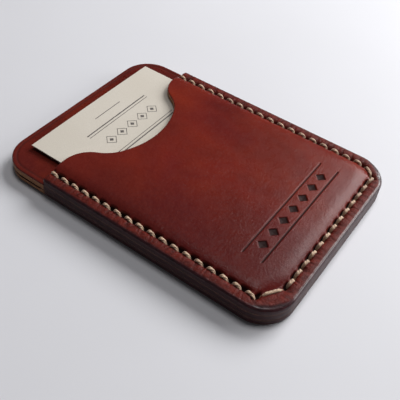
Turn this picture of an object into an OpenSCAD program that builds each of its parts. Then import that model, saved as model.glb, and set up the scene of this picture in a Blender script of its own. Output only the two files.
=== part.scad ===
// Slim card wallet of three stitched leather panels, with a business card that slides out.
// X runs across the wallet, +Y points to its open end, and +Z up from the table it lies on.
// The origin is the middle of the footprint, on the underside of the back panel.

/* [Wallet] */
// Width of the wallet
wallet_w = 70; // [70:1:84]
// Length of the centre and back panels
wallet_l = 98.5; // [92:0.5:118]
// Radius of the four outer corners
corner_r = 10; // [6:0.5:12]
// Thickness of one leather panel
leather_t = 2.3; // [1.9:0.1:2.8]
// Bevel along the front and back rims
rim_bevel = 0.6; // [0.3:0.1:0.9]

/* [Front pocket] */
// From the wallet's open end down to the pocket's shoulders
shoulder_drop = 19; // [14:0.5:24]
// Depth of the thumb scoop below the shoulders
scoop_depth = 14; // [11:0.5:18]
// Place of the scoop's middle, across the wallet
scoop_shift = 0.8; // [-1:0.1:1]
// Radius of the scoop's floor
scoop_floor_r = 27; // [22:1:32]
// Angle that the floor's arc turns to each side
scoop_floor_angle = 28; // [22:1:32]
// Radius of the scoop's lower corners
scoop_corner_r = 13; // [10:1:15]
// Radius of the rounded shoulders beside the scoop
scoop_shoulder_r = 10; // [7:1:11]
// Height of the room for cards behind the front panel
pocket_h = 1.5; // [1.2:0.1:2]
// Height that the pocket's face swells above the rim
pillow_h = 1.3; // [0.9:0.1:1.8]
// Width of the slope round the swollen face
pillow_slope = 4; // [2.5:0.5:6]
// Height of the slit between the centre and back panels
back_pocket_h = 0.4; // [0.2:0.1:0.7]
// Glued strip inside the stitch line
glue_w = 1.5; // [1.2:0.1:2]

/* [Stitching] */
// From the rim to the stitch line
stitch_margin = 3.7; // [3:0.1:4.5]
// Spacing of the stitch holes
stitch_pitch = 4; // [3:0.25:5]
// Diameter of the thread where it lies in front
thread_d = 0.9; // [0.8:0.1:1]
// Diameter of the thread in its slits and behind, where it is drawn tight
tight_d = 0.5; // [0.4:0.05:0.5]
// How much of the thread sinks into the front panel
thread_sink = 0.35; // [0.2:0.05:0.45]
// Least length of the stitch that crosses a corner, up the side
corner_rise = 4.4; // [3.5:0.1:6]
// From the right side's stitch line to the first hole of the bottom row
bottom_start = 3; // [2.5:0.5:5]
// Least length of the stitch that crosses the left corner, along the bottom
corner_run = 7; // [4:0.5:9]

/* [Card] */
// Width of the business card
card_w = 55; // [50:0.5:56]
// Length of the business card
card_l = 85; // [80:0.5:89]
// Thickness of the business card
card_t = 0.4; // [0.3:0.1:0.6]
// Air under the card
card_lift = 0.7; // [0.3:0.1:0.8]
// Room left between the card and the pocket's bottom
card_pull = 3; // [1:0.5:6]
// Place of the card's middle, across the wallet
card_shift = 1.5; // [-1.5:0.1:1.5]

/* [Tooled border] */
// Height of the tooled band above the bottom stitches
band_rise = 12; // [8:0.5:20]
// Number of diamonds in the band
band_diamonds = 7; // [3:2:9]
// Spacing of the diamonds
band_pitch = 5.5; // [4.5:0.5:6]
// Side of a diamond
diamond_side = 2.4; // [1:0.1:3]
// Depth of the tooling
tooling_depth = 0.3; // [0.1:0.05:0.4]

/* [Hidden] */
// Smoothness of bores and pins, and of hulled outlines
$fn = 48;
hull_fn = 32;
// A cutter passes this far beyond the face that it opens
over = 1;
// Clearance round the thread in its holes
thread_gap = 0.05;
// Clearance beside the thread in its grooves
groove_gap = 0.1;
// Angle of an awl slit to its seam
slit_angle = 45;
arc_step = 4;

half_w = wallet_w / 2;
half_l = wallet_l / 2;
centre_z = leather_t;
front_z = 2 * leather_t;
rim_z = 3 * leather_t;
face_z = rim_z + pillow_h;
shoulder_y = half_l - shoulder_drop;

// Stitch lines and the glued strip inside them
line_x = half_w - stitch_margin;
line_y = -half_l + stitch_margin;
pocket_half_w = line_x - glue_w;
pocket_floor_y = line_y + glue_w;

// Two strands share each slit, one at either end of it
leg_offset = thread_d / 2 + thread_gap;
slit_r = tight_d / 2 + thread_gap;
slit_reach = leg_offset * cos(slit_angle) + slit_r;
groove_reach = thread_d / 2 + groove_gap;
// A run of thread ends just short of its leg's far side
bar_past = 0.9 * tight_d / 2;
first_hole_y = shoulder_y + slit_reach + 2 * thread_gap;
front_bar_z = rim_z - thread_sink + thread_d / 2;
back_bar_z = tight_d / 2 + thread_gap;

side_stitches = floor((first_hole_y - line_y - corner_rise) / stitch_pitch);
bottom_stitches = floor((2 * line_x - bottom_start - corner_run) / stitch_pitch);

// Holes in sewing order: down the left side, along the bottom and up the right side
left_holes = [for (i = [0:side_stitches]) [-line_x, first_hole_y - i * stitch_pitch]];
bottom_holes = [for (i = [bottom_stitches:-1:0]) [line_x - bottom_start - i * stitch_pitch, line_y]];
right_holes = [for (i = [side_stitches:-1:0]) [line_x, first_hole_y - i * stitch_pitch]];
holes = concat(left_holes, bottom_holes, right_holes);
hole_count = len(holes);

// Sewing direction at each hole, which its slit leans from: toward the next hole, and at the last as before it
turns = [for (i = [1:hole_count]) heading(min(i, hole_count - 1))];

function heading(i) = atan2(holes[i][1] - holes[i - 1][1], holes[i][0] - holes[i - 1][0]);

// A strand rises at the leading, inner end of a slit and goes down at the trailing, outer end
function along(angle, length) = [length * cos(angle), length * sin(angle)];
function rise(i) = holes[i] + along(turns[i] + slit_angle, leg_offset);
function fall(i) = holes[i] - along(turns[i] + slit_angle, leg_offset);

// Turn from the scoop's floor up to its steepest wall, from the depth that the arcs must climb
floor_climb = scoop_floor_r * (1 - cos(scoop_floor_angle));
wall_angle = acos((floor_climb + scoop_corner_r * cos(scoop_floor_angle) + scoop_shoulder_r - scoop_depth)
                  / (scoop_corner_r + scoop_shoulder_r));
function turned(r, from, to) = r * [sin(to) - sin(from), cos(from) - cos(to)];
floor_end = turned(scoop_floor_r, 0, scoop_floor_angle);
wall_mid = floor_end + turned(scoop_corner_r, scoop_floor_angle, wall_angle);
scoop_half = concat(
    [for (a = [0:arc_step:scoop_floor_angle - arc_step]) turned(scoop_floor_r, 0, a)],
    [for (a = [scoop_floor_angle:arc_step:wall_angle - 1]) floor_end + turned(scoop_corner_r, scoop_floor_angle, a)],
    [for (a = [wall_angle:-arc_step:1]) wall_mid - turned(scoop_shoulder_r, wall_angle, a)],
    [wall_mid - turned(scoop_shoulder_r, wall_angle, 0)]
);
scoop_points = len(scoop_half);

card_z = front_z + card_lift;
card_bottom_y = pocket_floor_y + card_pull;
band_y = line_y + band_rise;
band_half = (band_diamonds + 1) / 2 * band_pitch;
rule_w = 0.5;
rule_offset = 3;

// Rounded outline of the wallet, pulled in by a margin
module rounded_slab(inset, z, height) {
    r = corner_r - inset;
    translate([0, 0, z])
        linear_extrude(height)
            union() {
                square([wallet_w - 2 * corner_r, wallet_l - 2 * inset], center = true);
                square([wallet_w - 2 * inset, wallet_l - 2 * corner_r], center = true);
                for (x = [-1, 1], y = [-1, 1])
                    translate([x * (half_w - corner_r), y * (half_l - corner_r)])
                        circle(r);
            }
}

// Outline of the front panel from the bottom rim to its shoulders, with the thumb scoop cut in
module pocket_outline() {
    right = [for (p = scoop_half) [scoop_shift + p[0], shoulder_y - scoop_depth + p[1]]];
    left = [for (i = [scoop_points - 1:-1:1]) [scoop_shift - scoop_half[i][0], right[i][1]]];
    polygon(concat([[-half_w - over, shoulder_y]], left, right, [
        [half_w + over, shoulder_y],
        [half_w + over, -half_l - over],
        [-half_w - over, -half_l - over]
    ]));
}

// The awl slits, through every panel
module slits() {
    for (i = [0:hole_count - 1])
        translate([holes[i][0], holes[i][1], -over])
            rotate(turns[i] + slit_angle)
                linear_extrude(face_z + 2 * over)
                    union() {
                        square([2 * leg_offset, 2 * slit_r], center = true);
                        for (x = [-1, 1])
                            translate([x * leg_offset, 0])
                                circle(slit_r);
                    }
}

// A straight run of thread from one point to another, a little past both
module bar(from, to, z, d) {
    run = to - from;
    translate([from[0], from[1], z])
        rotate(atan2(run[1], run[0]))
            translate([-bar_past, 0, 0])
                rotate([0, 90, 0])
                    cylinder(d = d, h = norm(run) + 2 * bar_past);
}

// Outline of a straight groove that reaches this far past both points and to each side
module groove(from, to, reach) {
    run = to - from;
    translate(from)
        rotate(atan2(run[1], run[0]))
            translate([-reach, -reach])
                square([norm(run) + 2 * reach, 2 * reach]);
}

// Channel gouged along the whole seam, so that the stitches behind lie below the surface
module stitching_channel() {
    ends = [0, side_stitches, side_stitches + 1, hole_count - side_stitches - 2, hole_count - side_stitches - 1,
            hole_count - 1];
    translate([0, 0, -over])
        linear_extrude(over + tight_d + 2 * thread_gap)
            for (i = [0:len(ends) - 2])
                groove(holes[ends[i]], holes[ends[i + 1]], slit_reach + thread_gap);
}

module leg(at) {
    translate([at[0], at[1], back_bar_z])
        cylinder(d = tight_d, h = front_bar_z - back_bar_z);
}

// One half of the thread: it lies in front on every second stitch and behind on the others
module strand(phase) {
    union() {
        for (i = [0:hole_count - 2])
            if (i % 2 == phase)
                bar(rise(i), fall(i + 1), front_bar_z, thread_d);
            else
                bar(fall(i), rise(i + 1), back_bar_z, tight_d);
        for (i = [1:hole_count - 1])
            if (i % 2 == phase)
                leg(rise(i));
            else
                leg(fall(i));
    }
}

module back_panel() {
    color("#5a2a20")
        difference() {
            hull() {
                rounded_slab(rim_bevel, 0, rim_bevel);
                rounded_slab(0, rim_bevel, leather_t - rim_bevel);
            }
            // Slit of the back pocket, open to the sides beyond the stitches
            translate([-pocket_half_w, pocket_floor_y, leather_t - back_pocket_h])
                cube([2 * pocket_half_w, wallet_l, back_pocket_h + over]);
            translate([-half_w - over, first_hole_y + slit_reach, leather_t - back_pocket_h])
                cube([wallet_w + 2 * over, wallet_l, back_pocket_h + over]);
            slits();
            stitching_channel();
        }
}

module centre_panel() {
    color("#6b3026")
        difference() {
            rounded_slab(0, centre_z, leather_t);
            slits();
        }
}

// The swollen face of the pocket: a low frustum that runs out past the mouth
module pillow() {
    edge_x = line_x - thread_d;
    edge_y = line_y + thread_d;
    r = corner_r - stitch_margin;
    hull()
        for (step = [[0, front_z + over, rim_z - front_z - over], [pillow_slope, rim_z, pillow_h]])
            for (x = [-1, 1]) {
                translate([x * (edge_x - step[0] - r), edge_y + step[0] + r, step[1]])
                    cylinder(r = r, h = step[2], $fn = hull_fn);
                translate([x * (edge_x - step[0] - r), half_l, step[1]])
                    cylinder(r = r, h = step[2], $fn = hull_fn);
            }
}

// Plain band of diamonds between two rules, pressed into the face
module tooled_band() {
    translate([0, band_y, face_z - tooling_depth]) {
        for (i = [0:band_diamonds - 1])
            translate([(i - (band_diamonds - 1) / 2) * band_pitch, 0, 0])
                rotate(45)
                    translate([-diamond_side / 2, -diamond_side / 2, 0])
                        cube([diamond_side, diamond_side, over]);
        for (y = [-1, 1])
            translate([-band_half, y * rule_offset - rule_w / 2, 0])
                cube([2 * band_half, rule_w, over]);
    }
}

module front_panel() {
    color("#7a3328")
        difference() {
            union() {
                hull() {
                    rounded_slab(0, front_z, leather_t - rim_bevel);
                    rounded_slab(rim_bevel, rim_z - rim_bevel, rim_bevel);
                }
                pillow();
            }
            // Everything beyond the shoulders and the scoop
            translate([0, 0, front_z - over])
                linear_extrude(face_z)
                    difference() {
                        square([2 * wallet_w, 2 * wallet_l], center = true);
                        pocket_outline();
                    }
            // Room for the cards
            translate([-pocket_half_w, pocket_floor_y, front_z - over])
                cube([2 * pocket_half_w, wallet_l, pocket_h + over]);
            slits();
            // Grooves that the front stitches press into the leather
            translate([0, 0, rim_z - thread_sink - thread_gap])
                linear_extrude(face_z)
                    for (i = [0:hole_count - 2])
                        groove(rise(i), fall(i + 1), groove_reach);
            tooled_band();
        }
}

module thread_first_half() {
    color("#c9a98c")
        union() {
            strand(0);
            leg(rise(0));
        }
}

module thread_second_half() {
    color("#c9a98c")
        strand(1);
}

module business_card() {
    color("#d6d0c6")
        translate([card_shift - card_w / 2, card_bottom_y, card_z])
            cube([card_w, card_l, card_t]);
}

back_panel();
centre_panel();
front_panel();
thread_first_half();
thread_second_half();
business_card();
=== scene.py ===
# %% [markdown]
# # A slim card wallet in hand-stitched leather
# The wallet is three panels of thick vegetable-tanned leather, sewn together round three sides with a
# waxed thread, and a business card stands in the front pocket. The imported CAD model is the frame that
# everything is measured from. Each panel, the thread and the card are then made again with the detail
# that leather, thread and board show, and take the place of their CAD nodes.
# Blender works in metres. The pieces are laid out in millimetres, as a maker would, and a single number
# turns them into metres at the end.

# %% Load the frame
import math

import bpy
import numpy as np
from mathutils import Matrix, Vector
from mathutils.geometry import delaunay_2d_cdt


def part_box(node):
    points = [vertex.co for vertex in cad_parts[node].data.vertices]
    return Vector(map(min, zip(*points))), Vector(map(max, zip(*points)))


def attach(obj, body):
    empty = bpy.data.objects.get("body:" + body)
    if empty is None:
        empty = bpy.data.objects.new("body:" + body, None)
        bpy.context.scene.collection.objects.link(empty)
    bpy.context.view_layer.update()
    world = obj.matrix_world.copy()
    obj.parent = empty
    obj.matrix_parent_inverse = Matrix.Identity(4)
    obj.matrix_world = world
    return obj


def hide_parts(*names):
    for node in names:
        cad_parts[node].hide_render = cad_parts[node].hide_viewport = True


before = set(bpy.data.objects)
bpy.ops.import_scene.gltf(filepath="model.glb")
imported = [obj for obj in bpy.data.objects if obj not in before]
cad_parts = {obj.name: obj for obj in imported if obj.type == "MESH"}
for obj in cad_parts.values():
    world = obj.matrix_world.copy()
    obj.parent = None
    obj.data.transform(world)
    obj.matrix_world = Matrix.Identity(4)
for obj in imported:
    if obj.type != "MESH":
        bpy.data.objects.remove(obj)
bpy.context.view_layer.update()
MM = 0.001


def box_mm(node):
    """Lowest and highest corner of a CAD node, in millimetres."""
    low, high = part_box(node)
    return np.array(low) / MM, np.array(high) / MM


def placed(name, data):
    """A new object at the origin for this mesh, light or camera."""
    made = bpy.data.objects.new(name, data)
    bpy.context.scene.collection.objects.link(made)
    return made


front_low, front_high = box_mm("front_panel")
centre_low, centre_high = box_mm("centre_panel")
back_high = box_mm("back_panel")[1]
card_low, card_high = box_mm("business_card")
print("front", front_low.round(2), front_high.round(2), "card", card_low.round(2), card_high.round(2))

# %% [markdown]
# ## The camera
# A flat object shows most of itself from a raised corner view, and a longish lens keeps its lines calm.
# The camera is placed by its angle round the object, its height angle and its distance, and is then
# rolled a little. The same numbers can be changed to look at the wallet from elsewhere.

# %% Camera
AZIMUTH, ELEVATION, ROLL = math.radians(-58.04), math.radians(46.41), math.radians(5.13)
CAMERA_DISTANCE = 188.5 * MM
CAMERA_TARGET = Vector((-7.38, -6.80, 0.0)) * MM

camera_back = Vector((
    math.sin(AZIMUTH) * math.cos(ELEVATION),
    -math.cos(AZIMUTH) * math.cos(ELEVATION),
    math.sin(ELEVATION),
))
camera_right = Vector((0, 0, 1)).cross(camera_back).normalized()
camera_up = camera_back.cross(camera_right)
rolled_right = math.cos(ROLL) * camera_right + math.sin(ROLL) * camera_up
rolled_up = -math.sin(ROLL) * camera_right + math.cos(ROLL) * camera_up

camera_data = bpy.data.cameras.new("studio_camera")
camera_data.sensor_width = 36
camera_data.lens = 56.28
camera_data.clip_start = 0.01
camera = placed("studio_camera", camera_data)
axes = Matrix((rolled_right, rolled_up, camera_back)).transposed().to_4x4()
camera.matrix_world = Matrix.Translation(CAMERA_TARGET + CAMERA_DISTANCE * camera_back) @ axes
bpy.context.scene.camera = camera
print("camera at", [round(c, 4) for c in camera.location])

# %% [markdown]
# ## Floor and light
# Polished leather shows its shape by what it reflects, so most of the light comes from one large soft
# panel on the right, as from a window. It draws a pale sheen over the end of the pocket and leaves the
# long near edge dark. A low panel lights the bottom wall and its rubbed rim, a small one overhead sets
# the contact shadow, and a faint even surround keeps the shadows open.

# %% Floor, surround and lights
def linear(hex_colour):
    """A colour written as six hex digits, as the linear values that a shader works in."""
    values = [int(hex_colour[i:i + 2], 16) / 255 for i in (0, 2, 4)]
    return [v / 12.92 if v <= 0.04045 else ((v + 0.055) / 1.055) ** 2.4 for v in values] + [1.0]


def soft_panel(name, direction, distance, size, power):
    """A square white area light that looks at the middle of the wallet."""
    data = bpy.data.lights.new(name, "AREA")
    data.shape = "SQUARE"
    data.size = size
    data.energy = power
    light = placed(name, data)
    toward = Vector(direction).normalized()
    light.location = toward * distance
    light.rotation_euler = toward.to_track_quat("Z", "Y").to_euler()


soft_panel("window_panel", direction=(0.78, -0.18, 0.63), distance=0.80, size=0.44, power=7.0)
soft_panel("low_panel", direction=(0.60, -0.72, 0.36), distance=0.60, size=0.26, power=1.3)
soft_panel("top_panel", direction=(0.15, 0.02, 0.99), distance=0.90, size=0.26, power=1.9)

world = bpy.data.worlds.new("pale_surround")
world.use_nodes = True
surround = world.node_tree.nodes["Background"]
surround.inputs["Color"].default_value = linear("ebe9ee")
surround.inputs["Strength"].default_value = 0.06
bpy.context.scene.world = world
bpy.context.scene.view_settings.view_transform = "Standard"

FLOOR_REACH = 1.5
floor_mesh = bpy.data.meshes.new("studio_floor")
square = ((-1, -1), (1, -1), (1, 1), (-1, 1))
floor_mesh.from_pydata([(x * FLOOR_REACH, y * FLOOR_REACH, 0) for x, y in square], [], [(0, 1, 2, 3)])
floor = placed("studio_floor", floor_mesh)
print("floor and", len(bpy.data.lights), "lights")

# %% [markdown]
# ## Helpers for materials
# Every finish below is a small tree of nodes round one Principled shader. These helpers add a node, join
# it up and give back its output, so that each finish can be written as a few readable lines.

# %% Material helpers
def new_finish(name):
    """An empty material with one Principled shader, its node tree and the object's own coordinates."""
    material = bpy.data.materials.new(name)
    material.use_nodes = True
    tree = material.node_tree
    coordinates = tree.nodes.new("ShaderNodeTexCoord").outputs["Object"]
    return material, tree, tree.nodes["Principled BSDF"], coordinates


def noise(tree, vector, per_mm, detail=2.0, roughness=0.5, distortion=0.0):
    """Soft random pattern with this many waves in a millimetre."""
    node = tree.nodes.new("ShaderNodeTexNoise")
    for socket, number in zip(("Scale", "Detail", "Roughness", "Distortion"),
                              (per_mm / MM, detail, roughness, distortion)):
        node.inputs[socket].default_value = number
    tree.links.new(vector, node.inputs["Vector"])
    return node.outputs["Fac"]


def stretched(tree, vector, scale):
    """The coordinates squeezed along each axis by these factors."""
    node = tree.nodes.new("ShaderNodeMapping")
    node.inputs["Scale"].default_value = scale
    tree.links.new(vector, node.inputs["Vector"])
    return node.outputs["Vector"]


def painted(tree, name, share=1.0):
    """A number that the piece's mesh carries at each point, or this share of it."""
    node = tree.nodes.new("ShaderNodeAttribute")
    node.attribute_name = name
    return node.outputs["Fac"] if share == 1.0 else arithmetic(tree, "MULTIPLY", node.outputs["Fac"], share)


def remap(tree, value, low, high, to_low=0.0, to_high=1.0):
    """Stretch part of a pattern's range to new limits, and clamp it there."""
    node = tree.nodes.new("ShaderNodeMapRange")
    for socket, number in (("From Min", low), ("From Max", high), ("To Min", to_low), ("To Max", to_high)):
        node.inputs[socket].default_value = number
    tree.links.new(value, node.inputs["Value"])
    return node.outputs["Result"]


print("pattern helpers ready")

# %% Helpers for values, colour and relief
def feed(tree, socket, value):
    """Join another node's output to a socket, or set the socket to a plain value."""
    if isinstance(value, bpy.types.NodeSocket):
        tree.links.new(value, socket)
    else:
        socket.default_value = value


def arithmetic(tree, operation, *values):
    """One operation on numbers or other nodes' outputs."""
    node = tree.nodes.new("ShaderNodeMath")
    node.operation = operation
    for socket, value in zip(node.inputs, values):
        feed(tree, socket, value)
    return node.outputs[0]


def mix(tree, factor, a, b):
    """One colour over another; a and b are hex digits or outputs of other nodes."""
    node = tree.nodes.new("ShaderNodeMix")
    node.data_type = "RGBA"
    tree.links.new(factor, node.inputs["Factor"])
    for socket, colour in ((node.inputs[6], a), (node.inputs[7], b)):
        feed(tree, socket, linear(colour) if isinstance(colour, str) else colour)
    return node.outputs[2]


def bump(tree, shader, height, depth_mm, below=None):
    """Relief of this depth on the shader; below is another bump to add to."""
    node = tree.nodes.new("ShaderNodeBump")
    node.inputs["Strength"].default_value = 1.0
    node.inputs["Distance"].default_value = depth_mm * MM
    tree.links.new(height, node.inputs["Height"])
    if below is not None:
        tree.links.new(below, node.inputs["Normal"])
    tree.links.new(node.outputs["Normal"], shader.inputs["Normal"])
    return node.outputs["Normal"]


floor_finish, tree, shader, place = new_finish("pale_matt_floor")
tree.links.new(mix(tree, noise(tree, place, 0.012, 3.0), "d5d5d9", "dddde2"), shader.inputs["Base Color"])
shader.inputs["Roughness"].default_value = 0.6
shader.inputs["Specular IOR Level"].default_value = 0.25
floor_mesh.materials.append(floor_finish)
print("floor finish", floor_finish.name)

# %% [markdown]
# ## Leather finishes
# The panels are dyed a deep chestnut and waxed. Such dye never takes evenly: it pools in darker oxblood
# patches and wears redder where the leather is rubbed. Two sizes of soft noise mix three browns. Each
# panel's mesh also carries painted numbers from 0 to 1: how close the seam is, how pressed or pinched the
# leather is (which also carries painted shade in the slits and the crease valleys), how much painted shade
# darkens the face towards its left side and bottom end, how rubbed and shiny the face is, and whether the
# point is on the edge's wall, on a burnished part of it or on a raw cut that has lost its dye.

# %% Leather
SEAM_BROWNS, EDGE_BROWNS, RAW_TANS = ("42100b", "6e2116"), ("200a0e", "44181f"), ("835439", "b48a66")
FIBRE_RED, PRESSED_AND_SHADE_BROWN = "7a3426", "1c0a08"
SMOOTHEST, DULLEST = 0.23, 0.33


def leather_finish(name, dark, middle, warm):
    """Waxed leather in three browns, with its seam, edges and marks where the mesh says they are."""
    material, tree, shader, place = new_finish(name)
    clouds = remap(tree, noise(tree, place, 0.035, 3.0, 0.55, 0.4), 0.36, 0.64)
    patches = remap(tree, noise(tree, stretched(tree, place, (1.0, 0.7, 1.0)), 0.07, 3.0, 0.5, 0.3), 0.40, 0.72)
    face = mix(tree, clouds, middle, warm)
    face = mix(tree, remap(tree, patches, 0.0, 1.0, 0.0, 0.5), face, dark)
    # Painted shade: the face is darkened towards its left side and bottom end, where less light falls
    face = mix(tree, painted(tree, "painted_shade_left", 0.65), face, dark)
    face = mix(tree, remap(tree, noise(tree, place, 0.9, 4.0, 0.6), 0.35, 0.7, 0.0, 0.14), face, FIBRE_RED)
    # Redder and less polished beside the seam, nearly black where it is pressed or pinched; that dark brown
    # is also painted shade in the gaping slits and the crease valleys, and partly in the tooled band
    crinkle = remap(tree, noise(tree, place, 0.6, 4.0, 0.6, 0.6), 0.3, 0.7)
    face = mix(tree, painted(tree, "beside_seam", 0.85), face, mix(tree, crinkle, *SEAM_BROWNS))
    face = mix(tree, painted(tree, "pressed"), face, PRESSED_AND_SHADE_BROWN)
    # Burnished edges are almost black, raw ones tan, and both are streaked along the edge
    for kind, squeeze, per_mm, rough, tones in (
            ("burnished", 6, 0.5, 0.6, EDGE_BROWNS), ("raw_edge", 3, 1.2, 0.7, RAW_TANS)):
        streaks = noise(tree, stretched(tree, place, (1, 1, squeeze)), per_mm, 4.0, rough)
        face = mix(tree, painted(tree, kind), face, mix(tree, remap(tree, streaks, 0.3, 0.7), *tones))
    tree.links.new(face, shader.inputs["Base Color"])
    polish = remap(tree, noise(tree, place, 0.35, 3.0, 0.6), 0.3, 0.7, SMOOTHEST, DULLEST)
    for kind, change in (
            ("beside_seam", 0.18), ("rubbed", -0.09), ("raw_edge", 0.4), ("pressed", 0.4), ("edge_wall", 0.2)):
        polish = arithmetic(tree, "ADD", polish, painted(tree, kind, change))
    tree.links.new(polish, shader.inputs["Roughness"])
    shader.inputs["Specular IOR Level"].default_value = 0.14
    # Wax shines on the burnished bevel, and hardly on the wall below it
    off_wall = arithmetic(tree, "SUBTRACT", 1.0, painted(tree, "edge_wall", 0.85))
    wax = arithmetic(tree, "MULTIPLY", painted(tree, "burnished"), off_wall)
    tree.links.new(wax, shader.inputs["Coat Weight"])
    shader.inputs["Coat Roughness"].default_value = 0.22
    relief = bump(tree, shader, noise(tree, place, 1.25, 4.0, 0.7), 0.09)
    wrinkles = noise(tree, place, 0.8, 4.0, 0.7, 1.0)
    wrinkles = arithmetic(tree, "MULTIPLY", wrinkles, painted(tree, "beside_seam"))
    relief = bump(tree, shader, wrinkles, 0.26, relief)
    bump(tree, shader, noise(tree, place, 0.22, 3.0, 0.6), 0.10, relief)
    return material


front_finish = leather_finish("chestnut_leather_front", "421416", "681e1a", "782617")
centre_finish = leather_finish("chestnut_leather_centre", "3c1416", "5a1c18", "6c2314")
back_finish = leather_finish("chestnut_leather_back", "361213", "4d1817", "5e1f14")
print("leather finishes:", front_finish.name, centre_finish.name, back_finish.name)

# %% [markdown]
# ## The outlines that the panels are cut to
# The centre and back panels are plain rectangles with rounded corners. The front panel is shorter, and a
# thumb scoop of three arcs is cut into its mouth. An outline is a closed list of points that runs round
# the panel with the leather on its left, evenly spaced, so that walls can be raised on it later.

# %% Outlines
HALF_W, HALF_L = centre_high[0], centre_high[1]
CORNER_R = 10.0
SHOULDER_DROP, SHOULDER_CORNER_R = 19.0, 0.7
SHOULDER_Y = HALF_L - SHOULDER_DROP
SCOOP_X, SCOOP_DEPTH = 0.8, 14.0
FLOOR_R, CORNER_SCOOP_R, SHOULDER_R = 27.0, 13.0, 10.0
FLOOR_TURN = 28.0
OUTLINE_STEP = 0.35


def even_steps(points, step):
    """The same closed line with points this far apart."""
    points = np.asarray(points, float)
    loop = np.vstack([points, points[:1]])
    along = np.concatenate([[0], np.cumsum(np.linalg.norm(np.diff(loop, axis=0), axis=1))])
    count = int(round(along[-1] / step))
    at = np.linspace(0, along[-1], count, endpoint=False)
    return np.column_stack([np.interp(at, along, loop[:, i]) for i in (0, 1)])


def arc(centre, radius, start, end, steps=24):
    """Points of an arc, from one angle to another in degrees."""
    angles = np.radians(np.linspace(start, end, steps))
    return [(centre[0] + radius * math.cos(a), centre[1] + radius * math.sin(a)) for a in angles]


def scoop_side():
    """Half of the scoop, from the middle of its floor out to the shoulder."""
    turn = math.radians(FLOOR_TURN)
    climb = FLOOR_R * (1 - math.cos(turn))
    steepest = math.degrees(math.acos(
        (climb + CORNER_SCOOP_R * math.cos(turn) + SHOULDER_R - SCOOP_DEPTH) / (CORNER_SCOOP_R + SHOULDER_R)))
    floor_line = arc((0, FLOOR_R), FLOOR_R, -90, -90 + FLOOR_TURN)
    ex, ey = floor_line[-1]
    corner_centre = (ex - CORNER_SCOOP_R * math.sin(turn), ey + CORNER_SCOOP_R * math.cos(turn))
    corner_line = arc(corner_centre, CORNER_SCOOP_R, -90 + FLOOR_TURN, -90 + steepest)
    wx, wy = corner_line[-1]
    wall = math.radians(steepest)
    shoulder_centre = (wx + SHOULDER_R * math.sin(wall), wy - SHOULDER_R * math.cos(wall))
    shoulder_line = arc(shoulder_centre, SHOULDER_R, 90 + steepest, 90)
    return np.array(floor_line + corner_line[1:] + shoulder_line[1:])


half_scoop = scoop_side()
scoop_base = SHOULDER_Y - SCOOP_DEPTH
right_scoop = half_scoop[::-1] + [SCOOP_X, scoop_base]
left_scoop = half_scoop[1:] * [-1, 1] + [SCOOP_X, scoop_base]
shoulder_x, shoulder_y = HALF_W - SHOULDER_CORNER_R, SHOULDER_Y - SHOULDER_CORNER_R
mouth_line = np.vstack([
    arc((shoulder_x, shoulder_y), SHOULDER_CORNER_R, 0, 90, 8), right_scoop, left_scoop,
    arc((-shoulder_x, shoulder_y), SHOULDER_CORNER_R, 90, 180, 8),
])
x, y = HALF_W - CORNER_R, HALF_L - CORNER_R
open_end = arc((x, y), CORNER_R, 0, 90) + arc((-x, y), CORNER_R, 90, 180)
bottom_end = arc((-x, -y), CORNER_R, 180, 270) + arc((x, -y), CORNER_R, 270, 360)
front_outline = even_steps([tuple(p) for p in mouth_line] + bottom_end, OUTLINE_STEP)
full_outline = even_steps(open_end + bottom_end, OUTLINE_STEP)
print("scoop from", left_scoop[-1].round(2), "to", right_scoop[0].round(2))
print("outline points:", len(front_outline), "and", len(full_outline))

# %% [markdown]
# ## The seam
# The holes were pricked with an iron at an even four millimetres. Its teeth are slanted, so every hole is
# a short slit at forty-five degrees, and the stitches lie at a slight slant between them: each comes up
# at the inner end of one slit and goes down at the outer end of the next.

# %% Seam
PITCH, MARGIN = 4.0, 3.7
LINE_X, LINE_Y = HALF_W - MARGIN, -HALF_L + MARGIN
FIRST_HOLE_Y = SHOULDER_Y + 0.754
SIDE_STITCHES, BOTTOM_STITCHES, BOTTOM_START = 18, 13, 3.0
SLANT_ALONG, SLANT_INWARD = 0.40, 0.18

side_y = FIRST_HOLE_Y - PITCH * np.arange(SIDE_STITCHES + 1)
bottom_x = LINE_X - BOTTOM_START - PITCH * np.arange(BOTTOM_STITCHES, -1, -1)
holes = np.vstack([
    np.column_stack([np.full(side_y.shape, -LINE_X), side_y]),
    np.column_stack([bottom_x, np.full(bottom_x.shape, LINE_Y)]),
    np.column_stack([np.full(side_y.shape, LINE_X), side_y[::-1]]),
])
along = np.diff(holes, axis=0)
along = np.vstack([along, along[-1:]])
along /= np.linalg.norm(along, axis=1)[:, None]
inward = np.column_stack([-along[:, 1], along[:, 0]])
lean = SLANT_ALONG * along + SLANT_INWARD * inward
rise, fall = holes + lean, holes - lean
print(len(holes), "holes, first", holes[0].round(2), "last of the left side", holes[SIDE_STITCHES].round(2))

# %% Distances and eased steps
def smooth(low, high, value):
    """0 below one limit to 1 above the other, with an easy start and end."""
    t = np.clip((value - low) / (high - low), 0, 1)
    return t * t * (3 - 2 * t)


def round_over(distance, width):
    """1 at an edge to 0 at this distance from it, down a quarter of a circle."""
    t = np.clip(1 - distance / width, 0, 1)
    return 1 - np.sqrt(1 - t * t)


def rim_distance(x, y):
    """How far a point is inside the wallet's rounded outline."""
    qx, qy = np.abs(x) - (HALF_W - CORNER_R), np.abs(y) - (HALF_L - CORNER_R)
    return CORNER_R - np.hypot(np.maximum(qx, 0), np.maximum(qy, 0)) - np.minimum(np.maximum(qx, qy), 0)


def corner_share(x, y):
    """0 on the straight sides to 1 round the middle of a corner, where the edge was rubbed down most."""
    reach = np.minimum(np.abs(x) - (HALF_W - CORNER_R), np.abs(y) - (HALF_L - CORNER_R))
    return smooth(0.5, 5.0, reach)


def line_distance(x, y, a, b):
    """Distance to the left of the line from a to b."""
    run = (np.asarray(b) - a) / np.linalg.norm(np.asarray(b) - a)
    return run[0] * (y - a[1]) - run[1] * (x - a[0])


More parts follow.
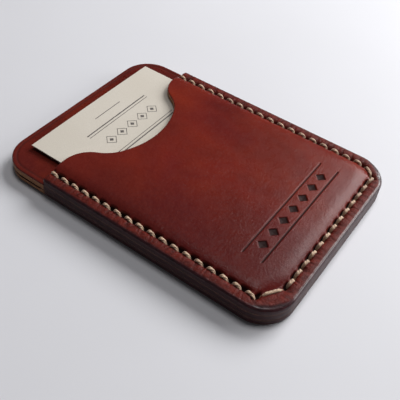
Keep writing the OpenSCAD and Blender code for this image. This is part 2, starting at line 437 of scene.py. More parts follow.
def seam_distance(x, y, soften=0.0):
    """How far a point is inside the stitched line, with its corners softened by this much."""
    last_left, first_right = SIDE_STITCHES, SIDE_STITCHES + 1 + BOTTOM_STITCHES
    sides = np.stack([
        x + LINE_X, LINE_X - x, y - LINE_Y,
        line_distance(x, y, holes[last_left], holes[last_left + 1]),
        line_distance(x, y, holes[first_right], holes[first_right + 1]),
    ])
    if not soften:
        return sides.min(axis=0)
    return -soften * np.log(np.exp(-sides / soften).sum(axis=0))


def path_distance(x, y, path):
    """Distance to an open line of points."""
    nearest = np.full(x.shape, np.inf)
    for a, b in zip(path[:-1], path[1:]):
        run = b - a
        t = np.clip(((x - a[0]) * run[0] + (y - a[1]) * run[1]) / max(run @ run, 1e-9), 0, 1)
        nearest = np.minimum(nearest, np.hypot(x - a[0] - t * run[0], y - a[1] - t * run[1]))
    return nearest


print("first hole is", rim_distance(*holes[0]).round(2), "mm inside the rim")

# %% [markdown]
# ## How a panel becomes a mesh
# A panel is a skin with detail that changes from place to place: fractions of a millimetre at the stitches,
# and almost none in the middle. So its points are laid out densely only where they are needed, a Delaunay
# triangulation joins them, a height rule lifts them, and a wall of rounded rows closes the edge between
# the top and the underside. This keeps fine detail without a heavy even grid.

# %% Panel builder
WALL_ROWS = (0.06, 0.14, 0.26, 0.42, 0.58, 0.74, 0.86, 0.94)


def outward(outline):
    """Unit vectors that point out of the panel at each point of its outline."""
    run = np.roll(outline, -1, axis=0) - np.roll(outline, 1, axis=0)
    run /= np.linalg.norm(run, axis=1)[:, None]
    return np.column_stack([run[:, 1], -run[:, 0]])


def grid(step, x_range, y_range, keep):
    """Points of an even grid for which keep(x, y) holds."""
    xs = np.arange(x_range[0] + step / 2, x_range[1], step)
    ys = np.arange(y_range[0] + step / 2, y_range[1], step)
    x, y = (a.ravel() for a in np.meshgrid(xs, ys))
    chosen = keep(x, y)
    return np.column_stack([x[chosen], y[chosen]])


def triangulated(outline, inner):
    """Join the outline and the inner points into triangles that face up."""
    points = np.vstack([outline, inner])
    ring = len(outline)
    edges = [(i, (i + 1) % ring) for i in range(ring)]
    made = delaunay_2d_cdt([Vector(p) for p in points], edges, [], 1, 1e-6, False)
    flat, faces = np.array([tuple(v) for v in made[0]]), np.array(made[2])
    assert len(flat) == len(points), "the triangulation added or merged points"
    # A triangle between three points of the outline may lie outside it, as across the thumb scoop
    on_outline = np.flatnonzero((faces < ring).all(axis=1))
    middle = flat[faces[on_outline]].mean(axis=1)
    before, after = outline, np.roll(outline, -1, axis=0)
    x, y = middle[:, :1], middle[:, 1:]
    spans = (before[:, 1] > y) != (after[:, 1] > y)
    climb = np.where(after[:, 1] == before[:, 1], 1, after[:, 1] - before[:, 1])
    rise_per = (after[:, 0] - before[:, 0]) / climb
    outside = (spans & (x < before[:, 0] + (y - before[:, 1]) * rise_per)).sum(axis=1) % 2 == 0
    return flat, np.delete(faces, on_outline[outside], axis=0)


print("wall rows at", WALL_ROWS)

# %% Raise a panel between two height rules
def leather_panel(name, outline, top_points, under_points, top, under, rounding, paint, finish):
    """A closed panel between two height rules; rounding is how far the wall draws in at its foot and head."""
    top_flat, top_faces = triangulated(outline, top_points)
    under_flat, under_faces = triangulated(outline, under_points)
    ring = len(outline)
    top_z, under_z = top(top_flat[:, 0], top_flat[:, 1]), under(under_flat[:, 0], under_flat[:, 1])
    normals = outward(outline)
    rows = []
    for share in WALL_ROWS:
        bulge = rounding * (1 - abs(2 * share - 1) ** 4)
        z = top_z[:ring] * (1 - share) + under_z[:ring] * share
        rows.append(np.column_stack([outline + normals * bulge, z]))
    vertices = [np.column_stack([top_flat, top_z])] + rows + [np.column_stack([under_flat, under_z])]
    starts = np.cumsum([0] + [len(v) for v in vertices[:-1]])
    faces = [tuple(f) for f in top_faces] + [tuple(f[::-1] + starts[-1]) for f in under_faces]
    step = np.roll(np.arange(ring), -1)
    for upper, lower in zip(starts[:-1], starts[1:]):
        faces += [(upper + i, lower + i, lower + j, upper + j) for i, j in zip(range(ring), step)]
    vertices = np.vstack(vertices)
    mesh = bpy.data.meshes.new(name)
    mesh.from_pydata((vertices * MM).tolist(), [], [tuple(int(i) for i in f) for f in faces])
    where = np.zeros(len(vertices))
    where[starts[1]:starts[-1]] = np.repeat(WALL_ROWS, ring)
    where[starts[-1]:] = 1.0
    for attribute, values in paint(vertices[:, 0], vertices[:, 1], vertices[:, 2], where).items():
        layer = mesh.attributes.new(attribute, "FLOAT", "POINT")
        layer.data.foreach_set("value", np.clip(values, 0, 1).astype(np.float32))
    mesh.shade_smooth()
    mesh.materials.append(finish)
    mesh.validate()
    piece = placed(name, mesh)
    print(name, len(mesh.vertices), "points,", sum(len(p.vertices) - 2 for p in mesh.polygons), "triangles")
    return piece


random = np.random.default_rng(7)
waves = [(random.uniform(0, math.tau), random.uniform(0, math.tau), random.uniform(9, 26)) for wave in range(9)]


def undulation(x, y):
    """The gentle unevenness of a hide, about a tenth of a millimetre high."""
    return sum(np.sin((x * math.cos(a) + y * math.sin(a)) * math.tau / length + phase)
               for a, phase, length in waves) / len(waves)


print(len(waves), "waves make the hide uneven")

# %% [markdown]
# ## The front panel
# Wet leather was pressed over a form, so the pocket swells up just inside the seam and then runs nearly
# flat. The tight thread pinches it: every stitch lies in a shallow trough, the slits gape on their inner
# side, and fine puckers run out over the margin. The edge is bevelled and rubbed round. A plain band of
# diamonds between two rules is tooled across the face near the bottom.

# %% Marks of the seam and of tooling
LEATHER_T = 2.3
FRONT_Z = centre_high[2]
RIM_Z = FRONT_Z + LEATHER_T
PILLOW_H = front_high[2] - RIM_Z
GLUE_W, POCKET_H = 1.5, 1.5
POCKET_HALF_W, POCKET_FLOOR_Y = LINE_X - GLUE_W, LINE_Y + GLUE_W
BAND_Y, RULE_OFFSET, BAND_HALF = LINE_Y + 12.0, 3.0, 22.0
DIAMONDS = (np.arange(7) - 3) * 5.5
DIAMOND_REACH = 1.7
TROUGH_DEPTH, CREASE_DEPTH, HOLLOW_DEPTH, TOOLING_DEPTH = 0.24, 0.20, 1.1, 0.5
MOUTH_DROP, MOUTH_ROUND = 0.30, 0.35

hole_size = random.uniform(0.8, 1.15, len(holes))
PUCKER_AT = (-1.6, -0.7, 0.2, 1.2)
pucker_turn = random.uniform(-0.45, 0.45, (len(holes), len(PUCKER_AT)))
pucker_size = random.uniform(0.0, 1.2, (len(holes), len(PUCKER_AT)))
pucker_width = random.uniform(0.16, 0.5, (len(holes), len(PUCKER_AT)))


def round_holes(x, y, reach):
    """For each hole: its number, the points near it, and how far they are along the seam and inward."""
    for i, at in enumerate(holes):
        k = np.flatnonzero((np.abs(x - at[0]) < reach) & (np.abs(y - at[1]) < reach))
        dx, dy = x[k] - at[0], y[k] - at[1]
        yield i, k, dx * along[i, 0] + dy * along[i, 1], dx * inward[i, 0] + dy * inward[i, 1]


def hollows(x, y):
    """0 to 1: the gaping slits at the inner side of each hole."""
    depth = np.zeros(x.shape)
    for i, k, u, v in round_holes(x, y, 2.5):
        gape = np.exp(-((u - 0.5 * (v - 0.4)) / (1.3 * hole_size[i])) ** 4 - ((v - 0.42) / 0.60) ** 4)
        depth[k] = np.maximum(depth[k], gape)
    return depth


def creases(x, y):
    """0 to 1: the short wrinkles that run out from the seam over the margin."""
    total = np.zeros(x.shape)
    for i, k, u, v in round_holes(x, y, 4.2):
        out = np.clip(-v, 0, None)
        fan = 0
        for turn, size, width, offset in zip(pucker_turn[i], pucker_size[i], pucker_width[i], PUCKER_AT):
            fan = fan + size * np.exp(-((u - offset - turn * out) / width) ** 2)
        total[k] += fan * smooth(0.0, 0.5, out) * np.exp(-(out / 2.3) ** 2)
    return np.clip(total, 0, 1)


def puckers(x, y):
    """Dimples at the holes, with a short fold on their inner side."""
    total = np.zeros(x.shape)
    for i, k, u, v in round_holes(x, y, 3.6):
        dimple = -0.30 * np.exp(-(u / 0.75) ** 2 - ((v + 0.1) / 0.7) ** 2)
        inner = -0.10 * np.exp(-(u / 0.5) ** 2) * smooth(0.2, 0.8, v) * np.exp(-np.clip(v, 0, None) / 0.9)
        total[k] += dimple + inner
    return total


def tooling(x, y):
    """0 to 1: how far the band's marks are pressed in."""
    dy = y - BAND_Y
    pressed = np.zeros(x.shape)
    for centre in DIAMONDS:
        from_middle = np.abs(x - centre) + np.abs(dy)
        stamped = smooth(DIAMOND_REACH + 0.12, DIAMOND_REACH - 0.16, from_middle)
        pressed = np.maximum(pressed, stamped * (1 - 0.5 * np.clip(from_middle / DIAMOND_REACH, 0, 1)))
    inside = smooth(BAND_HALF + 0.1, BAND_HALF - 0.1, np.abs(x))
    for side in (-1, 1):
        pressed = np.maximum(pressed, inside * 0.7 * np.exp(-((dy - side * RULE_OFFSET) / 0.22) ** 4))
    return pressed


print("rim at", round(RIM_Z, 2), "mm, swelling", round(PILLOW_H, 2), "mm,", len(DIAMONDS), "diamonds")

# %% Height and painted numbers of the front panel
def front_top(x, y):
    """Height of the pocket's face: the rim's two bevels, the swelling, and then everything pressed into it."""
    d, w = rim_distance(x, y), seam_distance(x, y)
    mouth = np.full(x.shape, 9.0)
    k = np.flatnonzero(y > scoop_base - 3)
    mouth[k] = path_distance(x[k], y[k], mouth_line)
    corner = corner_share(x, y)
    z = RIM_Z - 0.36 * np.clip(1 - d / 0.40, 0, 1)
    z = z - (0.30 + 0.2 * corner) * np.clip(1 - d / (0.95 + 0.8 * corner), 0, 1)
    z = z + 0.12 * np.sin(math.pi * np.clip((d - 0.95) / 2.3, 0, 1))
    w_soft = seam_distance(x, y, 0.8)
    shoulder, crown = np.clip((w_soft - 0.55) / 4.4, 0, 1), np.clip(w_soft / 16, 0, 1)
    swell = 0.70 * (1 - (1 - shoulder) ** 2.3) + 0.30 * (1 - (1 - crown) ** 2)
    z = z + PILLOW_H * swell * (0.96 + 0.04 * undulation(x, y))
    z = z - TROUGH_DEPTH * np.exp(-(w / 0.6) ** 2)
    z = z + puckers(x, y) - CREASE_DEPTH * creases(x, y) - HOLLOW_DEPTH * hollows(x, y)
    z = z - TOOLING_DEPTH * tooling(x, y)
    return z - MOUTH_DROP * round_over(mouth, MOUTH_ROUND)


def pocket_distance(x, y):
    """How far a point is inside the room for cards, which both pockets share."""
    return np.minimum(POCKET_HALF_W - np.abs(x), y - POCKET_FLOOR_Y)


def front_under(x, y):
    """Height of the underside, raised over the room for cards."""
    return FRONT_Z + POCKET_H * smooth(0.0, 0.7, pocket_distance(x, y))


def front_paint(x, y, z, where):
    """The painted numbers; where runs from 0 on the face, down the wall, to 1 on the underside."""
    d, w = rim_distance(x, y), seam_distance(x, y)
    mouth = path_distance(x, y, mouth_line)
    at_mouth = smooth(0.9, 0.3, mouth) * smooth(0.3, 1.0, d)
    wall = smooth(0.0, 0.06, where) * (where < 1)
    # Painted shade: the gaping slits are painted nearly black and the crease valleys at half strength. The
    # tooled band is darkened partly as pressed leather darkens and partly as painted shade
    pressed = np.maximum(smooth(0.05, 0.6, hollows(x, y)), smooth(0.1, 0.5, tooling(x, y)) * 0.95)
    return {
        "beside_seam": smooth(1.0, 0.1, w) * (1 - wall),
        "pressed": np.maximum(pressed, 0.5 * creases(x, y)) * (1 - wall),
        "burnished": np.maximum(wall, smooth(1.0, 0.35, d - 0.8 * corner_share(x, y))) * (1 - at_mouth),
        "raw_edge": wall * np.maximum(at_mouth, 0.3 * (where > 0.9)),
        "edge_wall": wall,
        "rubbed": np.exp(-((w - 2.2) / 1.5) ** 2) * (1 - wall),
        # painted shade, darker towards the left side and the bottom end
        "painted_shade_left": smooth(2, -30, x + 0.3 * y),
    }


middle_height = front_top(np.zeros(1), np.zeros(1))[0]
print("face is", middle_height.round(2), "mm high in the middle")

# %% Lay out the front panel's points and build it
ACROSS = (-HALF_W, HALF_W)
front_area = ACROSS, (-HALF_L, SHOULDER_Y)


def inside_front(x, y, gap):
    """True where a point is this far inside the rim and below the mouth."""
    below = y < np.interp(x, mouth_line[::-1, 0], mouth_line[::-1, 1]) - gap
    return (rim_distance(x, y) > gap) & below


def clear_of_mouth(points, gap):
    """The points that are further than this from the mouth."""
    return points[path_distance(points[:, 0], points[:, 1], mouth_line) > gap]


def rows_inside(outline, depths):
    """Rows of points parallel to the outline at these depths, for the rounding of an edge."""
    normals = outward(outline)
    kept = []
    for i, depth in enumerate(depths):
        row = outline - normals * depth
        closed = np.vstack([outline, outline[:1]])
        clear = path_distance(row[:, 0], row[:, 1], closed) > depth - 0.01
        kept.append(row[clear][i % 2:])
    return np.vstack(kept)


EDGE_ROWS = (0.04, 0.10, 0.18, 0.28, 0.40, 0.66, 0.95)
SEAM_STEP, MARGIN_STEP, SLOPE_STEP, FACE_STEP, BAND_STEP = 0.15, 0.24, 0.42, 1.0, 0.17
SLOPE_END = 5.2


def seam_zone(x, y):
    """True where the stitches need the finest points."""
    return np.abs(seam_distance(x, y)) < 1.35


def band_zone(x, y):
    """True over the tooled band."""
    return (np.abs(x) < BAND_HALF + 0.6) & (np.abs(y - BAND_Y) < RULE_OFFSET + 0.7)


def zone(kind, gap):
    """A rule for grid(): inside the front panel by this gap, in one kind of area."""
    def keep(x, y):
        w, seam, band = seam_distance(x, y), seam_zone(x, y), band_zone(x, y)
        areas = {
            "seam": seam, "band": band,
            "margin": ~seam & (w < 0),
            "slope": ~seam & (w > 0) & (w < SLOPE_END) & ~band,
            "face": (w >= SLOPE_END) & ~band,
        }
        return areas[kind] & inside_front(x, y, gap)
    return keep


def under_zone(x, y, at_step):
    """True near the step round the pocket's room, or else everywhere away from it."""
    near_step = np.abs(pocket_distance(x, y) - 0.35) < 0.7
    return (near_step == at_step) & inside_front(x, y, 0.5)


layers = [
    grid(SEAM_STEP, *front_area, zone("seam", 1.05)),
    grid(MARGIN_STEP, *front_area, zone("margin", 1.08)),
    grid(SLOPE_STEP, *front_area, zone("slope", 1.1)),
    grid(BAND_STEP, *front_area, zone("band", 0.9)),
    grid(FACE_STEP, *front_area, zone("face", 1.2)),
]
edge_points = rows_inside(front_outline, EDGE_ROWS)
front_points = np.vstack([edge_points] + [clear_of_mouth(layer, 1.05) for layer in layers])
under_points = clear_of_mouth(np.vstack([
    grid(0.35, *front_area, lambda x, y: under_zone(x, y, True)),
    grid(1.6, *front_area, lambda x, y: under_zone(x, y, False)),
]), 0.3)
print("front panel:", len(front_points), "points on the face,", len(under_points), "underneath")

# %% Build the front panel
front_leather = leather_panel(
    "front_pocket_leather", front_outline, front_points, under_points, front_top, front_under, 0.06,
    front_paint, front_finish)
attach(front_leather, "wallet")
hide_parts("front_panel")

# %% [markdown]
# ## The centre and back panels
# These lie flat under the front panel. Where the stack is stitched, the three edges were sanded and
# burnished together until they are nearly black, and only faint lines show where they meet. Beyond the
# front panel's shoulders the edges were left as cut, tan and slightly parted. A creaser drew a thin line
# round the exposed end.

# %% Centre panel
EDGE_ROUND, HIDDEN_ROUND = 0.35, 0.25
CREASE_IN, CREASE_HALF = 1.5, 0.22
COARSE_STEP = 1.4


def exposed(y):
    """0 under the front panel to 1 beyond its shoulders."""
    return smooth(SHOULDER_Y + 0.2, SHOULDER_Y + 1.0, y)


def centre_top(x, y):
    """Height of the face that the card lies on, with the creased line at the open end."""
    d = rim_distance(x, y)
    z = np.full(x.shape, FRONT_Z) - (0.05 + 0.25 * exposed(y)) * round_over(d, EDGE_ROUND)
    z = z - 0.14 * exposed(y) * np.exp(-((d - CREASE_IN) / CREASE_HALF) ** 2)
    return z + 0.03 * exposed(y) * (undulation(x, y) - 1)


def centre_under(x, y):
    """Height of the underside, eased at the edge so that a line shows between the panels."""
    return np.full(x.shape, centre_low[2]) + 0.10 * round_over(rim_distance(x, y), HIDDEN_ROUND)


def stack_paint(x, y, z, where):
    """The painted numbers of the two full-length panels, burnished only where they are stitched."""
    d = rim_distance(x, y)
    wall = smooth(0.0, 0.06, where) * (where < 1)
    stitched = 1 - exposed(y + 0.6)
    crease = 0.55 * exposed(y) * np.exp(-((d - CREASE_IN) / CREASE_HALF) ** 2) * (where == 0)
    rim = np.maximum(wall, smooth(0.30, 0.0, d))
    return {
        "beside_seam": 0.35 * smooth(3.0, 0.5, d) * (where == 0),
        "pressed": crease,
        "burnished": rim * (0.25 + 0.75 * stitched),
        "raw_edge": wall * np.maximum((1 - stitched) * 0.85, 0.3 * (np.abs(where - 0.5) > 0.42)),
        "edge_wall": wall,
    }


def rim_band(least, most=math.inf):
    """A rule for grid(): between these distances from the rim."""
    return lambda x, y: (rim_distance(x, y) > least) & (rim_distance(x, y) <= most)


rows = rows_inside(full_outline, (0.05, 0.12, 0.22, 0.34, 0.55, 0.8))
inner = grid(COARSE_STEP, ACROSS, (-HALF_L, HALF_L), rim_band(3.4))
crease_band = grid(0.3, ACROSS, (SHOULDER_Y - 16, HALF_L), rim_band(0.95, 3.2))
quiet_band = grid(0.9, ACROSS, (-HALF_L, SHOULDER_Y - 16.4), rim_band(1.2, 3.2))
centre_leather = leather_panel(
    "centre_panel_leather", full_outline, np.vstack([rows, inner, crease_band, quiet_band]),
    np.vstack([rows, inner]), centre_top, centre_under, 0.05, stack_paint, centre_finish)
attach(centre_leather, "wallet")
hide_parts("centre_panel")

# %% Back panel
SLIT_DEPTH, BACK_BEVEL = 0.4, 0.6
CHANNEL_DEPTH, CHANNEL_HALF = 0.62, 0.95
SLIT_END_Y = FIRST_HOLE_Y + 0.654


def back_top(x, y):
    """Height of the hidden face, sunk by the back pocket's slit."""
    pocket = smooth(0.0, 0.5, pocket_distance(x, y))
    parted = np.maximum(pocket, smooth(-0.3, 0.3, y - SLIT_END_Y))
    return back_high[2] - SLIT_DEPTH * parted - 0.10 * round_over(rim_distance(x, y), HIDDEN_ROUND)


def back_under(x, y):
    """Height of the face that lies on the table, with the channel and slits of the stitches behind."""
    z = BACK_BEVEL * round_over(rim_distance(x, y), 0.7)
    start = smooth(SLIT_END_Y + 0.4, SLIT_END_Y, y)
    channel = start * np.clip(1 - (seam_distance(x, y) / CHANNEL_HALF) ** 4, 0, 1) ** 0.5
    slits = np.zeros(x.shape)
    for i, k, u, v in round_holes(x, y, 2.0):
        slits[k] = np.maximum(slits[k], np.exp(-((u - v) / 0.45) ** 4 - ((u + v) / 1.5) ** 4))
    return z + CHANNEL_DEPTH * channel + 0.5 * slits


def back_paint(x, y, z, where):
    """The painted numbers of the back panel, whose underside is the finished face."""
    painted_edges = stack_paint(x, y, z, np.where(where == 1, 0.0, where))
    w = seam_distance(x, y)
    trough = smooth(1.1, 0.5, np.abs(w)) * (y < SLIT_END_Y) * (where == 1)
    painted_edges["pressed"] = 0.55 * trough
    painted_edges["beside_seam"] = 0.6 * smooth(2.4, 0.8, np.abs(w)) * (where == 1)
    painted_edges["burnished"] = np.where(
        where == 1, smooth(0.7, 0.1, rim_distance(x, y)) * (1 - 0.5 * exposed(y)), painted_edges["burnished"])
    return painted_edges


channel_points = grid(0.26, ACROSS, (-HALF_L, SLIT_END_Y + 1.2),
                      lambda x, y: (np.abs(seam_distance(x, y)) < 1.7) & (rim_distance(x, y) > 1.0))
plain_back = grid(COARSE_STEP, ACROSS, (-HALF_L, HALF_L), lambda x, y: (
    (np.abs(seam_distance(x, y)) >= 1.75) | (y > SLIT_END_Y + 1.2)) & (rim_distance(x, y) > 1.3))
slit_edge = grid(0.3, ACROSS, (SLIT_END_Y - 0.6, SLIT_END_Y + 0.6), rim_band(1.0))
rest = grid(COARSE_STEP, ACROSS, (-HALF_L, HALF_L),
            lambda x, y: (rim_distance(x, y) > 1.3) & (np.abs(y - SLIT_END_Y) > 0.8))
back_leather = leather_panel(
    "back_panel_leather", full_outline, np.vstack([rows, slit_edge, rest]),
    np.vstack([rows, channel_points, plain_back]), back_top, back_under, 0.05, back_paint, back_finish)
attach(back_leather, "wallet")
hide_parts("back_panel")

# %% [markdown]
# ## The thread
# One long waxed thread has a needle on each end, and both needles go through every hole from opposite
# sides. So each half of the thread shows on the front at every second stitch and on the back between
# them. A stitch could be drawn by hand and copied, but the corner stitches are longer than the others.
# Geometry Nodes follow a rule instead: every stitch is one edge of a plain mesh, and the tree turns each
# edge into three twisted plies that arch over the leather and dive into it at both ends.

# %% Thread finish
thread_finish, tree, shader, place = new_finish("waxed_beige_thread")
hairs = remap(tree, noise(tree, place, 4.0, 4.0, 0.7), 0.3, 0.7)
shade = mix(tree, hairs, "b08c70", "e2c7aa")
shade = mix(tree, remap(tree, noise(tree, place, 0.5, 2.0), 0.4, 0.65, 0.0, 0.5), shade, "8a6a54")
tree.links.new(shade, shader.inputs["Base Color"])
shader.inputs["Roughness"].default_value = 0.5
shader.inputs["Sheen Weight"].default_value = 0.2
bump(tree, shader, noise(tree, place, 6.0, 2.0, 0.6), 0.05)
print("thread finish", thread_finish.name)

# %% Geometry Nodes tree for twisted stitches
PLIES = 3


def twisted_stitches():
    """Tree that turns every edge of a mesh into a twisted stitch; gives back the tree and its inputs."""
    tree = bpy.data.node_groups.new("twisted_stitches", "GeometryNodeTree")
    tree.interface.new_socket("Geometry", in_out="OUTPUT", socket_type="NodeSocketGeometry")
    tree.interface.new_socket("Geometry", in_out="INPUT", socket_type="NodeSocketGeometry")
    inputs = {}
    for label, kind in (("Ply radius", "Float"), ("Ply offset", "Float"), ("Twist length", "Float"),
                        ("Bend share", "Float"), ("Rows", "Int"), ("Material", "Material")):
        inputs[label] = tree.interface.new_socket(label, in_out="INPUT", socket_type="NodeSocket" + kind)
    nodes, links = tree.nodes, tree.links
    group_in, group_out = nodes.new("NodeGroupInput"), nodes.new("NodeGroupOutput")

    def node(kind, **settings):
        made = nodes.new(kind)
        for key, value in settings.items():
            setattr(made, key, value)
        return made

    def math_node(operation, *values):
        return arithmetic(tree, operation, *values)

    def scaled(vector, factor):
        made = node("ShaderNodeVectorMath", operation="SCALE")
        feed(tree, made.inputs[0], vector)
        feed(tree, made.inputs["Scale"], factor)
        return made.outputs[0]

    def added(a, b):
        made = node("ShaderNodeVectorMath", operation="ADD")
        feed(tree, made.inputs[0], a)
        feed(tree, made.inputs[1], b)
        return made.outputs[0]

    to_curve = nodes.new("GeometryNodeMeshToCurve")
    resample = nodes.new("GeometryNodeResampleCurve")
    links.new(group_in.outputs["Geometry"], to_curve.inputs["Mesh"])
    links.new(to_curve.outputs["Curve"], resample.inputs["Curve"])
    links.new(group_in.outputs["Rows"], resample.inputs["Count"])

    parameter = nodes.new("GeometryNodeSplineParameter")
    spline = nodes.new("GeometryNodeSplineLength")
    share = parameter.outputs["Factor"]
    tangent = nodes.new("GeometryNodeInputTangent").outputs["Tangent"]
    across = node("ShaderNodeVectorMath", operation="CROSS_PRODUCT")
    links.new(tangent, across.inputs[0])
    across.inputs[1].default_value = (0, 0, 1)
    dive = node("GeometryNodeInputNamedAttribute", data_type="FLOAT")
    dive.inputs["Name"].default_value = "dive"
    from_end = math_node("MINIMUM", share, math_node("SUBTRACT", 1.0, share))
    end_share = math_node("DIVIDE", from_end, group_in.outputs["Bend share"])
    bent = math_node("MAXIMUM", math_node("SUBTRACT", 1.0, end_share), 0.0)
    drop = math_node("MULTIPLY", math_node("MULTIPLY", bent, bent), dive.outputs["Attribute"])
    turns_made = math_node("DIVIDE", spline.outputs["Length"], group_in.outputs["Twist length"])
    twist = math_node("MULTIPLY", math_node("MULTIPLY", share, turns_made), math.tau)
    profile = nodes.new("GeometryNodeCurvePrimitiveCircle")
    profile.inputs["Resolution"].default_value = 8
    links.new(group_in.outputs["Ply radius"], profile.inputs["Radius"])
    join = nodes.new("GeometryNodeJoinGeometry")
    for ply in range(PLIES):
        angle = math_node("ADD", twist, ply * math.tau / PLIES)
        sideways, upward = (math_node("MULTIPLY", math_node(wave, angle), group_in.outputs["Ply offset"])
                            for wave in ("COSINE", "SINE"))
        raised = scaled((0, 0, 1), math_node("SUBTRACT", upward, drop))
        shift = added(scaled(across.outputs[0], sideways), raised)
        place_ply = nodes.new("GeometryNodeSetPosition")
        links.new(resample.outputs["Curve"], place_ply.inputs["Geometry"])
        links.new(shift, place_ply.inputs["Offset"])
        sweep = nodes.new("GeometryNodeCurveToMesh")
        sweep.inputs["Fill Caps"].default_value = True
        links.new(place_ply.outputs["Geometry"], sweep.inputs["Curve"])
        links.new(profile.outputs["Curve"], sweep.inputs["Profile Curve"])
        links.new(sweep.outputs["Mesh"], join.inputs["Geometry"])
    dress = nodes.new("GeometryNodeSetMaterial")
    links.new(group_in.outputs["Material"], dress.inputs["Material"])
    chain = (join, nodes.new("GeometryNodeRealizeInstances"), nodes.new("GeometryNodeSetShadeSmooth"),
             dress, group_out)
    for earlier, later in zip(chain, chain[1:]):
        links.new(earlier.outputs["Geometry"], later.inputs["Geometry"])
    return tree, inputs


stitch_tree, stitch_inputs = twisted_stitches()
print("stitch tree with", len(stitch_tree.nodes), "nodes")

# %% Sew both halves of the thread
FRONT_THREAD_Z, BACK_THREAD_Z = RIM_Z + 0.06, 0.52
DIVE_FRONT, DIVE_EDGE, DIVE_BACK = 2.8, 3.0, 0.9
STITCH_LOOK = {"Ply radius": 0.32 * MM, "Ply offset": 0.20 * MM, "Twist length": 3.4 * MM,
               "Bend share": 0.34, "Rows": 21, "Material": thread_finish}


def sew(name, phase):
    """One half of the thread: in front on every second stitch, behind on the others."""
    points, edges, dives = [], [], []
    for i in range(len(holes) - 1):
        in_front = i % 2 == phase
        start, end = (rise[i], fall[i + 1]) if in_front else (fall[i], rise[i + 1])
        level = FRONT_THREAD_Z if in_front else BACK_THREAD_Z
        edges.append((len(points), len(points) + 1))
        points += [(*(start * MM), level * MM), (*(end * MM), level * MM)]
        deep = [DIVE_FRONT, DIVE_FRONT] if in_front else [-DIVE_BACK, -DIVE_BACK]
        if in_front and i == 0:
            deep[0] = DIVE_EDGE
        if in_front and i == len(holes) - 2:
            deep[1] = DIVE_EDGE
        dives += [d * MM for d in deep]
    path = bpy.data.meshes.new(name + "_path")
    path.from_pydata(points, edges, [])
    path.attributes.new("dive", "FLOAT", "POINT").data.foreach_set("value", np.array(dives, np.float32))
    seam = placed(name + "_path", path)
    stitches = seam.modifiers.new("stitches", "NODES")
    stitches.node_group = stitch_tree
    for label, value in STITCH_LOOK.items():
        stitches[stitch_inputs[label].identifier] = value
    evaluated = seam.evaluated_get(bpy.context.evaluated_depsgraph_get())
    mesh = bpy.data.meshes.new_from_object(evaluated)
    mesh.name = name
    piece = placed(name, mesh)
    bpy.data.objects.remove(seam)
    print(name, len(edges), "stitches,", len(mesh.polygons), "faces")
    return piece


for name, phase, node in (("first_half_of_thread", 0, "thread_first_half"),
                          ("second_half_of_thread", 1, "thread_second_half")):
    thread = sew(name, phase)
    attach(thread, "wallet")
    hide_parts(node)

# %% [markdown]
# ## The business card
# The card is thick uncoated board. It is not quite flat, because one end has been held in a pocket, so a
# fine grid is bent by a fraction of a millimetre and its edges are eased. The print is a plain pattern of
# thin rules and diamonds. It is made as very thin raised ink on the same mesh, which stays crisp at any
# size, where a painted picture would blur.

# %% Card finishes
board_finish, tree, shader, place = new_finish("uncoated_card_board")
fibre = remap(tree, noise(tree, stretched(tree, place, (1, 2.5, 1)), 1.8, 4.0, 0.7), 0.3, 0.7)
shade = mix(tree, fibre, "c6beb2", "d6cfc4")
shade = mix(tree, remap(tree, noise(tree, place, 0.06, 2.0), 0.35, 0.65, 0.0, 0.35), shade, "c6beb0")
tree.links.new(shade, shader.inputs["Base Color"])
shader.inputs["Roughness"].default_value = 0.8
shader.inputs["Specular IOR Level"].default_value = 0.3
bump(tree, shader, noise(tree, place, 3.0, 3.0, 0.7), 0.03)

ink_finish, tree, shader, place = new_finish("grey_printing_ink")
coverage = remap(tree, noise(tree, place, 2.5, 3.0), 0.3, 0.7)
tree.links.new(mix(tree, coverage, "46413f", "6e6763"), shader.inputs["Base Color"])
shader.inputs["Roughness"].default_value = 0.6
print("card finishes", board_finish.name, ink_finish.name)

# %% Bend and print of the card
CARD_STEP, CARD_EASE, CARD_BOW, CARD_TILT = 2.5, 0.06, 0.15, 0.36
CARD_HALF_W, INK_RISE = 27.5, 0.012
PRINT_FROM_END, RULE_HALF, SHORT_RULE_HALF = 17.0, 14.0, 6.0
card_mid = (card_low + card_high) / 2


def card_lift(x, y):
    """Towards the open end the card stands a little off the leather and bows up across its width."""
    toward_end = np.clip((y - card_low[1]) / (card_high[1] - card_low[1]), 0, 1)
    bow = CARD_BOW * toward_end ** 2 * (1 - ((x - card_mid[0]) / CARD_HALF_W) ** 2)
    return CARD_TILT * toward_end ** 1.5 + bow


def eased(low, high, step):
    """Even steps from one edge of the card to the other, with a narrow row along each."""
    inner = np.linspace(low + CARD_EASE, high - CARD_EASE, int((high - low) / step))
    return np.concatenate([[low], inner, [high]])


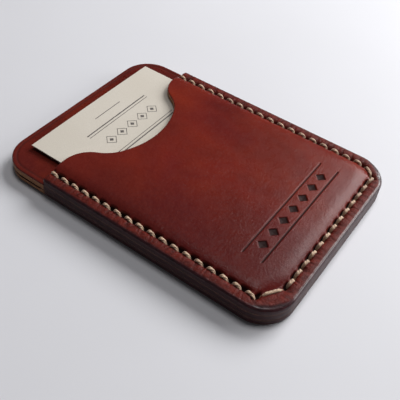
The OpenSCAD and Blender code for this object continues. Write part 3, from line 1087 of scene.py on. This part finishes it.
def ink_shapes():
    """Flat outlines of the print: two rules across the card with diamonds between, and two short rules."""
    shapes = []
    centre_x, centre_y = card_mid[0], card_high[1] - PRINT_FROM_END
    rules = ((6.5, RULE_HALF, 0.22), (5.4, RULE_HALF, 0.12), (-6.5, RULE_HALF, 0.22), (-5.4, RULE_HALF, 0.12),
             (10.5, SHORT_RULE_HALF, 0.14), (-10.5, SHORT_RULE_HALF, 0.14))
    for up, half, thick in rules:
        low, high = centre_y + up - thick, centre_y + up + thick
        ends = centre_x + np.linspace(-half, half, 13)
        shapes += [[(a, low), (b, low), (b, high), (a, high)] for a, b in zip(ends[:-1], ends[1:])]
    for x in np.arange(-2, 3) * 5.0:
        for reach, hole in ((2.2, 1.9), (0.8, 0.0)):
            outer, inner = (
                [(centre_x + x + r * c, centre_y + r * s) for c, s in ((1, 0), (0, 1), (-1, 0), (0, -1))]
                for r in (reach, hole))
            for i in range(4):
                j = (i + 1) % 4
                shapes.append([outer[i], outer[j]] + ([inner[j], inner[i]] if hole else [inner[i]]))
    return shapes


print(len(ink_shapes()), "patches of ink")

# %% Build the card
xs, ys = eased(card_low[0], card_high[0], CARD_STEP), eased(card_low[1], card_high[1], CARD_STEP)
nx, ny = len(xs), len(ys)
points, faces = [], []
for level, inward_ease in ((card_high[2], -CARD_EASE), (card_low[2], CARD_EASE)):
    for j, y in enumerate(ys):
        for i, x in enumerate(xs):
            edge = i in (0, nx - 1) or j in (0, ny - 1)
            points.append((x, y, level + (inward_ease if edge else 0) + card_lift(x, y)))
under = nx * ny
for j in range(ny - 1):
    for i in range(nx - 1):
        a = j * nx + i
        faces.append((a, a + 1, a + nx + 1, a + nx))
        faces.append((under + a, under + a + nx, under + a + nx + 1, under + a + 1))
rim = (list(range(nx)) + [j * nx + nx - 1 for j in range(1, ny)]
       + [(ny - 1) * nx + i for i in range(nx - 2, -1, -1)] + [j * nx for j in range(ny - 2, 0, -1)])
faces += [(a, under + a, under + b, b) for a, b in zip(rim, rim[1:] + rim[:1])]
board_faces = len(faces)
for shape in ink_shapes():
    start = len(points)
    points += [(x, y, card_high[2] + INK_RISE + card_lift(x, y)) for x, y in shape]
    faces.append(tuple(range(start, start + len(shape))))
card_mesh = bpy.data.meshes.new("business_card_board")
card_mesh.from_pydata((np.array(points, float) * MM).tolist(), [], faces)
card_mesh.materials.append(board_finish)
card_mesh.materials.append(ink_finish)
card_mesh.polygons.foreach_set("material_index", [int(i >= board_faces) for i in range(len(faces))])
card_mesh.shade_smooth()
card_mesh.set_sharp_from_angle(angle=math.radians(35))
card_mesh.validate()
card = placed("business_card_board", card_mesh)
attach(card, "card")
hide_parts("business_card")
print("card", len(card_mesh.polygons), "faces, height from", card_low[2].round(2), "to", card_high[2].round(2))
